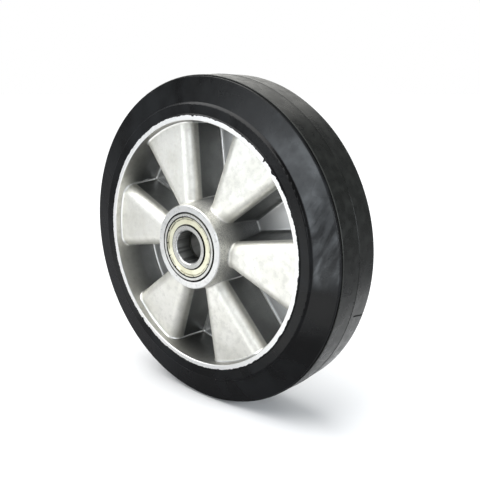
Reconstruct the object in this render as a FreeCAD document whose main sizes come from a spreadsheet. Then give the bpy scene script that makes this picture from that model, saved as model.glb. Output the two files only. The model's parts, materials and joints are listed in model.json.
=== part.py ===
import FreeCAD, Part
import math
import os
import Sketcher

# Shock-absorbing industrial wheel.
# Origin at the wheel's centre, axle along Y, outer face toward -Y, Z up.

# Driving sizes in millimetres and degrees
SIZES = {
    # tyre
    "wheel_diameter": 250.0,
    "tyre_thickness": 28.8,
    "tread_draft": 1.2,
    "seam_height": 0.2,
    "seam_width": 0.7,
    "ledge_width": 0.8,
    "step_depth": 2.4,
    "step_slope": 0.3,
    "bevel_rise": 4.3,
    "ridge_height": 1.9,
    "ridge_width": 7.9,
    "valley_width": 1.3,
    "ridge_radius": 1.2,
    "step_radius": 0.35,
    "tyre_below_lip": 0.6,
    # rim
    "rim_width": 56.0,
    "lip_width": 3.7,
    "lip_chamfer": 0.4,
    "casting_draft": 4.0,
    "straight_wall": 12.0,
    # folded web
    "spoke_count": 6,
    "spoke_turn": 6.7,
    "face_at_hub": 51.0,
    "face_at_rim": 44.6,
    "wall_angle": 3.0,
    "pocket_draft": 5.2,
    "floor_overlap": 20.0,
    "face_strip": 1.0,
    "spoke_edge_radius": 8.5,
    "floor_radius": 2.6,
    "junction_radius": 1.8,
    # hub
    "hub_length": 70.0,
    "hub_wall": 5.7,
    "hub_setback": 0.3,
    "hub_chamfer": 0.6,
    "seat_chamfer": 0.5,
    "seat_shoulder": 4.2,
    # ball bearings
    "bearing_bore": 25.0,
    "bearing_outside": 52.0,
    "bearing_width": 15.0,
    "ring_chamfer": 0.9,
    "ball_count": 9,
    "ball_diameter": 7.938,
    "groove_ratio": 0.52,
    "race_clearance": 0.06,
    "inner_land_depth": 2.65,
    "outer_land_depth": 2.65,
    "shield_seat_depth": 1.9,
    "shield_seat_width": 1.1,
    "shield_groove": 0.4,
    # shields
    "shield_sheet": 0.4,
    "shield_gap": 0.45,
    "shield_setback": 0.35,
    "shield_step": 0.45,
    "crimp_width": 2.0,
    "crimp_slant": 0.5,
    "crimp_tuck": 0.4,
    "crimp_notches": 14,
    "notch_width": 0.9,
    # cage and rivets
    "cage_sheet": 0.8,
    "cage_width": 3.8,
    "cage_clearance": 0.15,
    "rivet_diameter": 1.2,
    "rivet_head_diameter": 2.1,
    "rivet_head_height": 0.5,
    # spacer sleeve
    "spacer_clearance": 0.25,
    "spacer_wall": 3.4,
    "spacer_chamfer": 0.5,
}

doc = FreeCAD.newDocument("wheel")
sheet = doc.addObject("Spreadsheet::Sheet", "dims")
for row, (alias, number) in enumerate(SIZES.items(), 1):
    sheet.set("A%d" % row, str(number))
    sheet.setAlias("A%d" % row, alias)
doc.recompute()

nodes = []
NEAR = 0.01
SIDES = {"front": 1, "rear": -1}


# Shared helpers
def value(expression):
    """Number that an expression over the sheet's sizes gives."""
    found = sheet.evalExpression(expression)
    return float(getattr(found, "Value", found))


def new_body(name):
    body = doc.addObject("PartDesign::Body", name)
    body.Label = name
    return body


def plane_of(body, role):
    return next(item for item in body.Origin.OriginFeatures if item.Role == role)


def new_sketch(body, name, role):
    sketch = body.newObject("Sketcher::SketchObject", name)
    sketch.AttachmentSupport = [(plane_of(body, role), "")]
    sketch.MapMode = "FlatFace"
    return sketch


def hold(sketch, kind, line, point, expression):
    """Fix one coordinate of a sketch point from the sketch's origin, bound to an expression."""
    amount = value(expression)
    index = sketch.addConstraint(Sketcher.Constraint(kind, -1, 1, line, point, amount))
    sketch.setExpression("Constraints[%d]" % index, expression)


def add_loop(sketch, corners):
    """Closed outline through corners, each a pair of expressions."""
    spots = [FreeCAD.Vector(value(across), value(along), 0) for across, along in corners]
    first = sketch.GeometryCount
    count = len(corners)
    for number, spot in enumerate(spots):
        sketch.addGeometry(Part.LineSegment(spot, spots[(number + 1) % count]), False)
    for number, (across, along) in enumerate(corners):
        line = first + number
        following = first + (number + 1) % count
        sketch.addConstraint(Sketcher.Constraint("Coincident", line, 2, following, 1))
        hold(sketch, "DistanceX", line, 1, across)
        hold(sketch, "DistanceY", line, 1, along)


def add_circle(sketch, across, along, radius):
    centre = FreeCAD.Vector(value(across), value(along), 0)
    circle = Part.Circle(centre, FreeCAD.Vector(0, 0, 1), value(radius))
    line = sketch.addGeometry(circle, False)
    index = sketch.addConstraint(Sketcher.Constraint("Radius", line, value(radius)))
    sketch.setExpression("Constraints[%d]" % index, radius)
    hold(sketch, "DistanceX", line, 3, across)
    hold(sketch, "DistanceY", line, 3, along)


def turned(body, name, *loops, kind="PartDesign::Revolution"):
    """Feature of revolution about the wheel's axle, from loops of (radius, along) corners."""
    sketch = new_sketch(body, name + "_section", "XY_Plane")
    for loop in loops:
        add_loop(sketch, loop)
    return spun(body, name, sketch, kind)


def spun(body, name, sketch, kind):
    feature = body.newObject(kind, name)
    feature.Profile = sketch
    feature.ReferenceAxis = (sketch, ["V_Axis"])
    feature.Angle = 360
    doc.recompute()
    return feature


def pocket_at(body, name, sketch, depth, reverse):
    pocket = body.newObject("PartDesign::Pocket", name)
    pocket.Profile = sketch
    pocket.Reversed = reverse
    pocket.setExpression("Length", depth)
    doc.recompute()
    return pocket


def around(body, name, feature, count):
    """Copies of a feature spread evenly about the axle."""
    pattern = body.newObject("PartDesign::PolarPattern", name)
    pattern.Originals = [feature]
    pattern.Axis = (plane_of(body, "Y_Axis"), [""])
    pattern.Angle = 360
    pattern.setExpression("Occurrences", count)
    body.Tip = pattern
    doc.recompute()
    return pattern


def rounded(body, name, feature, test, radius):
    """Fillet on the edges of a feature that pass a test."""
    picked = ["Edge%d" % number for number, edge in enumerate(feature.Shape.Edges, 1) if test(edge)]
    fillet = body.newObject("PartDesign::Fillet", name)
    fillet.Base = (feature, picked)
    fillet.setExpression("Radius", radius)
    doc.recompute()
    return fillet


def middle(edge):
    return edge.valueAt((edge.FirstParameter + edge.LastParameter) / 2)


def off_axis(point):
    return math.hypot(point.x, point.z)


def is_ring(edge, radius, along):
    """True for a full circle about the axle at a radius and a distance along it, on either side."""
    centre = middle(edge)
    level = edge.BoundBox.YLength < NEAR
    return level and abs(off_axis(centre) - radius) < NEAR and abs(abs(centre.y) - along) < NEAR


def mirrored(half):
    """Outline of a front half followed by its mirror image behind the mid-plane."""
    back = [(across, "-(%s)" % along) for across, along in reversed(half)]
    return list(half) + back


# Values worked out from the driving sizes
rim_radius = "(dims.wheel_diameter / 2 - dims.tyre_thickness)"
lip_radius = "(%s - dims.lip_width)" % rim_radius
rim_half = "dims.rim_width / 2"
hub_half = "(dims.hub_length / 2 - dims.hub_setback)"
draft = "tan(dims.casting_draft)"
straight_half = "dims.straight_wall / 2"
bore_radius = "dims.bearing_bore / 2"
seat_radius = "dims.bearing_outside / 2"
hub_radius = "(%s + dims.hub_wall)" % seat_radius
bearing_half = "dims.bearing_width / 2"
bearing_centre = "(dims.hub_length / 2 - %s)" % bearing_half
bearing_inner_face = "(dims.hub_length / 2 - dims.bearing_width)"
pitch_radius = "(dims.bearing_bore + dims.bearing_outside) / 4"
ball_radius = "dims.ball_diameter / 2"
groove_radius = "dims.ball_diameter * dims.groove_ratio"
inner_land = "(%s - dims.inner_land_depth)" % pitch_radius
outer_land = "(%s + dims.outer_land_depth)" % pitch_radius


# Tyre: solid rubber, bonded on the rim
def make_tyre():
    crown = "dims.wheel_diameter / 2"
    tread_peak = "(%s - dims.seam_height)" % crown
    side = "(%s - dims.tyre_below_lip)" % rim_half
    ridge = "(%s + dims.ridge_width)" % rim_radius
    valley = "(%s + dims.valley_width)" % ridge
    valley_along = "(%s - dims.ridge_height)" % side
    bevel_end = "(%s - dims.bevel_rise)" % valley_along
    tread_half = "(%s - dims.step_depth)" % bevel_end
    edge = "(%s - %s * tan(dims.tread_draft))" % (tread_peak, tread_half)
    step_foot = "(%s - dims.ledge_width)" % edge
    step_top = "(%s - dims.step_slope)" % step_foot
    body = new_body("tyre")
    outline = mirrored([
        (tread_peak, "-dims.seam_width / 2"),
        (edge, "-" + tread_half),
        (step_foot, "-" + tread_half),
        (step_top, "-" + bevel_end),
        (valley, "-" + valley_along),
        (ridge, "-" + side),
        (rim_radius, "-" + side),
    ])
    outline.append((crown, "0"))
    section = turned(body, "tyre_solid", outline)
    corners = [(value(edge), value(tread_half)), (value(step_top), value(bevel_end))]
    shoulders = rounded(body, "shoulder_round", section,
                        lambda item: any(is_ring(item, *corner) for corner in corners), "dims.step_radius")
    crest = (value(ridge), value(side))
    rounded(body, "ridge_round", shoulders, lambda item: is_ring(item, *crest), "dims.ridge_radius")
    nodes.append(body)


# Wheel centre: one aluminium casting of rim, folded web and hub
def wedge(half_angle):
    """Triangle from the axle outward, symmetrical about the sketch's X axis."""
    reach = "dims.wheel_diameter / 2"
    spread = "(%s * tan(%s))" % (reach, half_angle)
    return [("0", "0"), (reach, "-" + spread), (reach, spread)]


def fold_cut(body, name, place, outline, depth, reverse):
    """Cut repeated on every spoke, from an outline on a plane set off from the mid-plane."""
    sketch = new_sketch(body, name + "_outline", "XZ_Plane")
    sketch.setExpression("AttachmentOffset", place)
    doc.recompute()
    add_loop(sketch, outline)
    cut = pocket_at(body, name, sketch, depth, reverse)
    return around(body, name + "s", cut, "dims.spoke_count")


def draft_walls(body, name, feature, sign):
    """Draft on the pocket walls of one side, narrowing with depth from the spoke faces' level."""
    level = body.newObject("PartDesign::Plane", name + "_level")
    level.AttachmentSupport = [(plane_of(body, "XZ_Plane"), "")]
    level.MapMode = "FlatFace"
    level.setExpression("AttachmentOffset.Base.z", "%d * dims.face_at_rim / 2" % sign)
    walls = []
    for number, face in enumerate(feature.Shape.Faces, 1):
        flat = isinstance(face.Surface, Part.Plane)
        if flat and abs(face.normalAt(0, 0).y) < NEAR and face.CenterOfMass.y * sign < 0:
            walls.append("Face%d" % number)
    drafted = body.newObject("PartDesign::Draft", name)
    drafted.Base = (feature, walls)
    drafted.NeutralPlane = (level, [""])
    drafted.setExpression("Angle", "dims.pocket_draft")
    drafted.Reversed = sign < 0
    doc.recompute()
    return drafted


def along_fold(edge, level, slack):
    """True for an edge that runs from the hub to the rim at a distance from the mid-plane."""
    span = value("%s - %s" % (lip_radius, hub_radius))
    halfway = value("(%s + %s) / 2" % (lip_radius, hub_radius))
    midway = abs(off_axis(middle(edge)) - halfway) < span / 4
    return midway and edge.Length > span / 2 and abs(abs(middle(edge).y) - level) < slack


def make_web():
    """Folded web: spokes and pockets alternate between the front and the rear."""
    inner = "(%s - dims.lip_width / 2)" % hub_radius
    outer = "(%s - dims.lip_width / 2)" % rim_radius
    blank_half = "(dims.face_at_hub / 2 + dims.spoke_edge_radius)"
    fall = "(dims.face_at_hub - dims.face_at_rim) / 2"
    tilt = "atan(%s / (%s - %s))" % (fall, lip_radius, hub_radius)
    face_apex = "(dims.face_at_hub / 2 + tan(%s) * %s)" % (tilt, hub_radius)
    half_pitch = "180 / dims.spoke_count"
    body = new_body("folded_web")
    turned(body, "web_blank", mirrored([(inner, "-" + blank_half), (outer, "-" + blank_half)]))
    pocket_depth = "%s + dims.floor_overlap / 2" % blank_half
    for side, sign in SIDES.items():
        spoke_at = "0" if sign > 0 else half_pitch
        pocket_at_angle = "%s - %s" % (half_pitch, spoke_at)
        face_place = "placement(vector(0; 0; %d * %s); rotationz(%s) * rotationy(%d * %s))" % (
            sign, face_apex, spoke_at, sign, tilt)
        fold_cut(body, side + "_face", face_place, wedge("(%s - dims.face_strip)" % half_pitch),
                 rim_half, sign > 0)
        pocket_place = "placement(vector(0; 0; %d * %s); rotationz(%s))" % (
            sign, blank_half, pocket_at_angle)
        pockets = fold_cut(body, side + "_pocket", pocket_place, wedge("(%s - dims.wall_angle) / 2" % half_pitch),
                           pocket_depth, sign < 0)
        folds = draft_walls(body, side + "_draft", pockets, sign)
    floor_level = value("dims.floor_overlap / 2")
    face_level = value("(dims.face_at_hub + dims.face_at_rim) / 4")
    slack = value("dims.spoke_edge_radius / 2")
    floors = rounded(body, "floor_round", folds,
                     lambda edge: along_fold(edge, floor_level, NEAR), "dims.floor_radius")
    rounded(body, "spoke_round", floors,
            lambda edge: along_fold(edge, face_level, slack), "dims.spoke_edge_radius")
    return body


def make_rim():
    throat = "(%s - (%s - %s) * %s)" % (lip_radius, rim_half, straight_half, draft)
    body = new_body("rim_ring")
    turned(body, "rim_solid", mirrored([
        (throat, "-" + straight_half),
        ("(%s - dims.lip_chamfer * %s)" % (lip_radius, draft), "-(%s - dims.lip_chamfer)" % rim_half),
        ("(%s + dims.lip_chamfer)" % lip_radius, "-" + rim_half),
        (rim_radius, "-" + rim_half),
    ]))
    return body


def make_hub():
    waist = "(%s + (%s - %s) * %s)" % (hub_radius, hub_half, straight_half, draft)
    body = new_body("hub_barrel")
    turned(body, "hub_solid", mirrored([
        (waist, "-" + straight_half),
        ("(%s + dims.hub_chamfer * %s)" % (hub_radius, draft), "-(%s - dims.hub_chamfer)" % hub_half),
        ("(%s - dims.hub_chamfer)" % hub_radius, "-" + hub_half),
        ("(%s + dims.seat_chamfer)" % seat_radius, "-" + hub_half),
        (seat_radius, "-(%s - dims.seat_chamfer)" % hub_half),
        (seat_radius, "-" + bearing_inner_face),
        ("(%s - dims.seat_shoulder)" % seat_radius, "-" + bearing_inner_face),
    ]))
    return body


def on_wall(edge, start, start_along, slope):
    """True for an edge that lies on a drafted wall of the rim or the hub."""
    straight = value(straight_half)
    points = edge.discretize(5)
    radii = [start + slope * (start_along - max(abs(point.y), straight)) for point in points]
    return all(abs(off_axis(point) - radius) < NEAR for point, radius in zip(points, radii))


def is_junction(shape, edge):
    """True for an edge where the folded web meets the rim or the hub."""
    level = abs(middle(edge).y)
    crease = edge.BoundBox.YLength < NEAR and abs(level - value(straight_half)) < NEAR
    seam = any(edge.isSeam(face) for face in shape.ancestorsOfType(edge, Part.Face))
    if crease or seam or edge.isClosed():
        return False
    slope = value(draft)
    at_rim = on_wall(edge, value(lip_radius), value(rim_half), -slope)
    return at_rim or on_wall(edge, value(hub_radius), value(hub_half), slope)


def make_wheel_centre():
    joined = doc.addObject("Part::MultiFuse", "joined_casting")
    joined.Shapes = [make_rim(), make_hub(), make_web()]
    joined.Refine = True
    doc.recompute()
    body = new_body("wheel_centre")
    body.BaseFeature = joined
    doc.recompute()
    base = body.Group[0]
    rounded(body, "junction_round", base, lambda edge: is_junction(base.Shape, edge),
            "dims.junction_radius")
    body.setExpression("Placement", "placement(vector(0; 0; 0); rotationy(dims.spoke_turn))")
    nodes.append(body)


# Ball bearings, modelled about their own centre with the outboard side toward -Y
seat_along = "(%s - dims.shield_seat_depth)" % bearing_half
shield_seat = "(%s + dims.shield_seat_width)" % outer_land
shield_groove = "(%s + dims.shield_groove)" % shield_seat
race_reach = "(%s + dims.race_clearance)" % ball_radius
cage_inner = "(%s - dims.cage_width / 2)" % pitch_radius
cage_outer = "(%s + dims.cage_width / 2)" % pitch_radius
pocket_radius = "(%s + dims.cage_clearance)" % ball_radius
dome_radius = "(%s + dims.cage_sheet)" % pocket_radius
ball_step = "360 / dims.ball_count"


def seat_bearing_piece(item, side, flip=False, turn=0.0):
    """Put a bearing piece at its end of the hub; flip turns it over about the first ball's radius."""
    sign = SIDES[side]
    end = FreeCAD.Rotation(FreeCAD.Vector(0, 0, 1), 0 if sign > 0 else 180)
    over = FreeCAD.Rotation(FreeCAD.Vector(1, 0, 0), 180 if flip else 0)
    spin = FreeCAD.Rotation(FreeCAD.Vector(0, 1, 0), turn)
    item.Placement.Rotation = end * over * spin
    item.setExpression("Placement.Base.y", "%d * %s" % (-sign, bearing_centre))
    nodes.append(item)


def race_groove(body, name, centre):
    sketch = new_sketch(body, name + "_section", "XY_Plane")
    add_circle(sketch, centre, "0", groove_radius)
    spun(body, name, sketch, "PartDesign::Groove")


def make_outer_ring(side):
    lip_along = "(%s + dims.shield_seat_depth / 2)" % seat_along
    body = new_body(side + "_outer_ring")
    turned(body, body.Name + "_solid", mirrored([
        (outer_land, "-" + seat_along),
        (shield_groove, "-" + seat_along),
        (shield_groove, "-" + lip_along),
        (shield_seat, "-" + lip_along),
        (shield_seat, "-" + bearing_half),
        ("(%s - dims.ring_chamfer)" % seat_radius, "-" + bearing_half),
        (seat_radius, "-(%s - dims.ring_chamfer)" % bearing_half),
    ]))
    race_groove(body, body.Name + "_race", "%s + %s - %s" % (pitch_radius, race_reach, groove_radius))
    seat_bearing_piece(body, side)


def make_inner_ring(side):
    body = new_body(side + "_inner_ring")
    turned(body, body.Name + "_solid", mirrored([
        (bore_radius, "-(%s - dims.ring_chamfer)" % bearing_half),
        ("(%s + dims.ring_chamfer)" % bore_radius, "-" + bearing_half),
        (inner_land, "-" + bearing_half),
    ]))
    race_groove(body, body.Name + "_race", "%s - %s + %s" % (pitch_radius, race_reach, groove_radius))
    seat_bearing_piece(body, side)


def make_shield(side, place):
    """Sheet shield: flat disc with a raised, notched rim crimped into the outer ring's groove."""
    sheet_bore = "(%s + dims.shield_gap)" % inner_land
    rim_face = "(%s - dims.shield_setback)" % bearing_half
    disc_face = "(%s - dims.shield_step)" % rim_face
    crimp_inner = "(%s - dims.crimp_width)" % shield_seat
    crimp_end = "(%s - dims.crimp_slant)" % shield_seat
    tuck = "(%s + dims.crimp_tuck)" % seat_along
    body = new_body("%s_%s_shield" % (side, place))
    turned(body, body.Name + "_solid", [
        (sheet_bore, "-" + disc_face),
        (crimp_inner, "-" + disc_face),
        ("%s + dims.shield_step" % crimp_inner, "-" + rim_face),
        (crimp_end, "-" + rim_face),
        (shield_groove, "-" + tuck),
        (shield_groove, "-" + seat_along),
        ("%s - dims.shield_sheet" % shield_groove, "-" + seat_along),
        ("%s - dims.shield_sheet / 2" % crimp_end, "-(%s - dims.shield_sheet)" % rim_face),
        ("%s + dims.shield_step + dims.shield_sheet / 2" % crimp_inner,
         "-(%s - dims.shield_sheet)" % rim_face),
        ("%s + dims.shield_sheet / 2" % crimp_inner, "-(%s - dims.shield_sheet)" % disc_face),
        (sheet_bore, "-(%s - dims.shield_sheet)" % disc_face),
    ])
    notch = new_sketch(body, body.Name + "_notch_outline", "XZ_Plane")
    add_loop(notch, mirrored([(crimp_inner + " + dims.shield_step", "-dims.notch_width / 2"),
                              (shield_seat, "-dims.notch_width / 2")]))
    cut = pocket_at(body, body.Name + "_notch", notch, bearing_half, True)
    around(body, body.Name + "_notches", cut, "dims.crimp_notches")
    seat_bearing_piece(body, side, flip=place == "inboard")


def add_ball_shape(body, name, kind, radius):
    """Sphere at the first ball's centre, added to or cut from a body, and its copies at every ball.

    Its poles point along the radius and its seam faces inboard, so that the cage's cuts remove both.
    """
    sphere = body.newObject(kind, name)
    sphere.Placement.Rotation = FreeCAD.Rotation(FreeCAD.Vector(1, 1, 1), 120)
    sphere.setExpression("Radius", radius)
    sphere.setExpression("Placement.Base.x", pitch_radius)
    doc.recompute()
    return around(body, name + "s", sphere, "dims.ball_count")


def make_cage_half(side, place):
    """Stamped ribbon half: flat lands between domed ball pockets, with a rivet hole in each land."""
    body = new_body("%s_%s_cage" % (side, place))
    depth = "dims.bearing_width"
    within = "%s / 2" % bore_radius
    beyond = "dims.bearing_outside"
    turned(body, body.Name + "_band", [
        (cage_inner, "-dims.cage_sheet"), (cage_outer, "-dims.cage_sheet"),
        (cage_outer, "0"), (cage_inner, "0")])
    add_ball_shape(body, body.Name + "_dome", "PartDesign::AdditiveSphere", dome_radius)
    turned(body, body.Name + "_trim",
           [(within, "-" + depth), (beyond, "-" + depth), (beyond, depth), (within, depth)],
           [(cage_inner, "-" + bearing_half), (cage_outer, "-" + bearing_half),
            (cage_outer, "0"), (cage_inner, "0")],
           kind="PartDesign::Groove")
    add_ball_shape(body, body.Name + "_pocket", "PartDesign::SubtractiveSphere", pocket_radius)
    hole = new_sketch(body, body.Name + "_hole_outline", "XZ_Plane")
    add_circle(hole, "%s * cos(%s / 2)" % (pitch_radius, ball_step),
               "%s * sin(%s / 2)" % (pitch_radius, ball_step), "dims.rivet_diameter / 2")
    cut = pocket_at(body, body.Name + "_hole", hole, bearing_half, True)
    around(body, body.Name + "_holes", cut, "dims.ball_count")
    seat_bearing_piece(body, side, flip=place == "inboard")


def make_rivets(side):
    """One rivet through each pair of lands, all in one group."""
    body = new_body(side + "_cage_rivets")
    body.AllowCompound = True
    shank = "%s + dims.rivet_diameter / 2" % pitch_radius
    head = "%s + dims.rivet_head_diameter / 2" % pitch_radius
    head_end = "(dims.cage_sheet + dims.rivet_head_height)"
    sketch = new_sketch(body, body.Name + "_section", "XY_Plane")
    add_loop(sketch, mirrored([
        (shank, "-dims.cage_sheet"), (head, "-dims.cage_sheet"),
        (head, "-" + head_end), (pitch_radius, "-" + head_end)]))
    rivet = body.newObject("PartDesign::Revolution", body.Name + "_rivet")
    rivet.Profile = sketch
    rivet.ReferenceAxis = (sketch, ["Edge4"])
    rivet.Angle = 360
    doc.recompute()
    around(body, body.Name + "_ring", rivet, "dims.ball_count")
    seat_bearing_piece(body, side, turn=value(ball_step) / 2)


def make_balls(side):
    sign = SIDES[side]
    for number in range(int(value("dims.ball_count"))):
        ball = doc.addObject("Part::Sphere", "%s_ball_%d" % (side, number + 1))
        ball.Label = ball.Name
        angle = "%d * %s" % (number, ball_step)
        ball.setExpression("Radius", ball_radius)
        ball.setExpression("Placement.Base.x", "%d * %s * cos(%s)" % (sign, pitch_radius, angle))
        ball.setExpression("Placement.Base.y", "%d * %s" % (-sign, bearing_centre))
        ball.setExpression("Placement.Base.z", "%s * sin(%s)" % (pitch_radius, angle))
        nodes.append(ball)


def make_bearing(side):
    make_outer_ring(side)
    make_inner_ring(side)
    for place in ("outboard", "inboard"):
        make_shield(side, place)
        make_cage_half(side, place)
    make_rivets(side)
    make_balls(side)


# Spacer sleeve: keeps the two inner rings apart when the axle is clamped
def make_spacer():
    inner = "(%s + dims.spacer_clearance)" % bore_radius
    outer = "(%s + dims.spacer_wall)" % inner
    body = new_body("spacer_sleeve")
    turned(body, "spacer_solid", mirrored([
        (inner, "-(%s - dims.spacer_chamfer)" % bearing_inner_face),
        ("(%s + dims.spacer_chamfer)" % inner, "-" + bearing_inner_face),
        ("(%s - dims.spacer_chamfer)" % outer, "-" + bearing_inner_face),
        (outer, "-(%s - dims.spacer_chamfer)" % bearing_inner_face),
    ]))
    nodes.append(body)


# Build, check and write
make_tyre()
make_wheel_centre()
make_spacer()
for bearing_side in SIDES:
    make_bearing(bearing_side)
doc.recompute()

for item in doc.Objects:
    if "Invalid" in item.State or "Error" in item.State:
        raise RuntimeError("%s did not build: %s" % (item.Name, item.State))
os.makedirs("parts", exist_ok=True)
for node in nodes:
    if node.Shape.isNull() or not node.Shape.isValid():
        raise RuntimeError("%s has no valid shape" % node.Label)
    node.Shape.exportStep("parts/%s.step" % node.Label)
    print("%-26s %2d solid, %10.1f mm3" % (node.Label, len(node.Shape.Solids), node.Shape.Volume))
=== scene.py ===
# %% [markdown]
# # A shock-absorbing industrial wheel
# This lesson dresses a finished CAD wheel for a studio picture.
# The wheel has a solid rubber tyre on a cast aluminium centre, and it turns on two shielded ball bearings.
# The solid shapes come from CAD and stay as they are, so the work here is light, camera, surface finishes
# and the thin moulded flash that a solid model leaves out.

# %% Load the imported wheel
import json
import math
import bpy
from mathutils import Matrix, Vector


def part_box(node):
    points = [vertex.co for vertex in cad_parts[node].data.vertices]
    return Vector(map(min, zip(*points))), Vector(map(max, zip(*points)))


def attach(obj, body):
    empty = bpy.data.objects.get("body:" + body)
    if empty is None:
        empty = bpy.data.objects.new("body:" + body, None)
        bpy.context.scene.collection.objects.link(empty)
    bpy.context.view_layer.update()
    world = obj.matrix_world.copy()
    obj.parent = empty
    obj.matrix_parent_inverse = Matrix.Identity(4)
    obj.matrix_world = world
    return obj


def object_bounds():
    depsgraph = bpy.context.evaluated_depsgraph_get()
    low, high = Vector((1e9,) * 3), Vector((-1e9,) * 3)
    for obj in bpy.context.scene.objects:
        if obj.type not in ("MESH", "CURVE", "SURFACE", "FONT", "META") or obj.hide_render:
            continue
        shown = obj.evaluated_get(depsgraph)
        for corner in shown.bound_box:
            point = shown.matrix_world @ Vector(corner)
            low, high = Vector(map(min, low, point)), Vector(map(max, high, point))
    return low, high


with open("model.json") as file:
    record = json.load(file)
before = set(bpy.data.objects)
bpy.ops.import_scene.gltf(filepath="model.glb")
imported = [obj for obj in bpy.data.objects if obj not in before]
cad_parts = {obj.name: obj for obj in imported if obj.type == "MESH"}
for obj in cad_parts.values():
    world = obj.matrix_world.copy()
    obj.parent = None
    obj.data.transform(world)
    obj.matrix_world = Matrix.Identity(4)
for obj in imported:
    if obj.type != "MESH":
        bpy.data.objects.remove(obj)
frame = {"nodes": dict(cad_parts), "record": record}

from types import SimpleNamespace

import bmesh
import bpy
from mathutils import Vector, noise

cad_low, cad_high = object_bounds()
scene = bpy.context.scene
nodes = frame["nodes"]
print("CAD pieces:", len(nodes), "box:", [round(v, 4) for v in cad_low], [round(v, 4) for v in cad_high])

# %% [markdown]
# ## The wheel's own sizes
# A finish changes at places on the wheel: the lathe has turned only the rim lips and the hub ends.
# Every finish therefore needs the distance from the axle, and the distance along it from the middle.
# Some of these lengths can be read from the boxes of the CAD pieces, so they stay right if the wheel
# changes. The others are the casting's own sizes, written once here in metres.

# %% Lengths that the finishes use
MM = 0.001
TREAD_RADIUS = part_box("tyre")[1].z
TYRE_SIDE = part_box("tyre")[1].y
HUB_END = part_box("wheel_centre")[1].y
BEARING_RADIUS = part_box("front_outer_ring")[1].z
RIM_RADIUS = 96.2 * MM
LIP_FACE = 28.0 * MM
HUB_RADIUS = 31.7 * MM
print("tread %.4f, tyre side %.4f, hub end %.4f" % (TREAD_RADIUS, TYRE_SIDE, HUB_END))

# %% [markdown]
# ## Light
# Bright metal looks like what stands around it, so the light matters as much as the finish.
# A wide sun acts as one huge softbox, high and to the front left, and it lights the table evenly.
# A softbox at the front left stands where the upper spokes and the tyre's right side mirror it:
# it whitens the spokes and lays a bluish sheen on the rubber.
# One behind the camera shines into the right-hand spoke edges and the bore, and one behind the wheel
# lights the tread. A small one, low at the right, lights the table by the tread's foot.
# The world stays dim, so that the pocket walls keep their dark grey.
# Where the camera looks past the wheel, the world is plain white like the table.

# %% World
ROOM_GLOW = 0.25
ROOM_TINT = (0.94, 0.97, 1.0, 1.0)
PAPER_WHITE = (1.0, 1.0, 1.0, 1.0)
world = bpy.data.worlds.new("studio")
scene.world = world
world.use_nodes = True
room = world.node_tree
glow = room.nodes["Background"]
glow.inputs["Color"].default_value = ROOM_TINT
glow.inputs["Strength"].default_value = ROOM_GLOW
paper = room.nodes.new("ShaderNodeBackground")
paper.inputs["Color"].default_value = PAPER_WHITE
room_path = room.nodes.new("ShaderNodeLightPath")
choice = room.nodes.new("ShaderNodeMixShader")
room.links.new(room_path.outputs["Is Camera Ray"], choice.inputs[0])
room.links.new(glow.outputs[0], choice.inputs[1])
room.links.new(paper.outputs[0], choice.inputs[2])
room.links.new(choice.outputs[0], room.nodes["World Output"].inputs["Surface"])
scene.view_settings.view_transform = "Standard"
print("room glow", ROOM_GLOW)

# %% Lamps
DAYLIGHT = (0.90, 0.95, 1.0)
WARM_WHITE = (1.0, 0.99, 0.94)
SUN_STRENGTH = 3.3
SUN_SPREAD = math.radians(74.0)
SUN_PLACE = (-0.40, -0.36, 1.30)


def place_lamp(lamp, place):
    """Put a lamp at a place and point it at the wheel; the camera doesn't see the lamp itself."""
    holder = bpy.data.objects.new(lamp.name, lamp)
    holder.location = place
    holder.rotation_euler = (-Vector(place)).to_track_quat("-Z", "Y").to_euler()
    holder.visible_camera = False
    scene.collection.objects.link(holder)


def add_softbox(name, place, size, watts, colour):
    """Square softbox of one colour."""
    box = bpy.data.lights.new(name, "AREA")
    box.size = size
    box.energy = watts
    box.color = colour
    place_lamp(box, place)


sky = bpy.data.lights.new("wide_softbox", "SUN")
sky.energy = SUN_STRENGTH
sky.angle = SUN_SPREAD
place_lamp(sky, SUN_PLACE)
add_softbox("front_softbox", place=(-0.45, -1.15, 0.25), size=0.7, watts=3.4, colour=DAYLIGHT)
add_softbox("side_softbox", place=(0.95, -0.95, 0.40), size=0.6, watts=3.0, colour=DAYLIGHT)
add_softbox("back_softbox", place=(-0.60, 1.20, 0.70), size=1.0, watts=3.4, colour=WARM_WHITE)
add_softbox("foot_softbox", place=(0.60, 0.12, 0.10), size=0.25, watts=1.9, colour=DAYLIGHT)
print("lamps:", [lamp.name for lamp in bpy.data.lights])

# %% [markdown]
# ## Camera
# The picture was taken from the right of the outer face and a little above the axle.
# The place and the lens come from fitting the wheel's circles: rings at known depths on one axle
# look like ellipses whose centres shift with their distance, and that fixes the camera.

# %% Camera
EYE = Vector((0.33706, -0.36423, 0.11967))
SIGHT = Vector((-0.63721, 0.73370, -0.23592))
SENSOR_WIDTH = 36.0
FOCAL_LENGTH = 49.1
lens = bpy.data.cameras.new("camera")
lens.sensor_width = SENSOR_WIDTH
lens.lens = FOCAL_LENGTH
camera = bpy.data.objects.new("camera", lens)
camera.location = EYE
camera.rotation_euler = SIGHT.to_track_quat("-Z", "Y").to_euler()
scene.collection.objects.link(camera)
scene.camera = camera
print("camera %.3f m from the wheel's centre" % EYE.length)

# %% [markdown]
# ## Tools for finishes
# Each finish is a small net of shader nodes, and the nets share a few moves: a sum, a smooth step,
# a noise and a mix of two colours.
# Writing these moves once as functions keeps every finish short enough to read.
# The patterns read Object coordinates, so they stay on their piece when the wheel turns.

# %% Materials, sums and steps
NUMBER_RESULTS = ("LENGTH", "DISTANCE", "DOT_PRODUCT")


def new_finish(name):
    """Empty material with its node tree and its surface shader."""
    finish = bpy.data.materials.new(name)
    finish.use_nodes = True
    return finish, finish.node_tree, finish.node_tree.nodes["Principled BSDF"]


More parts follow.
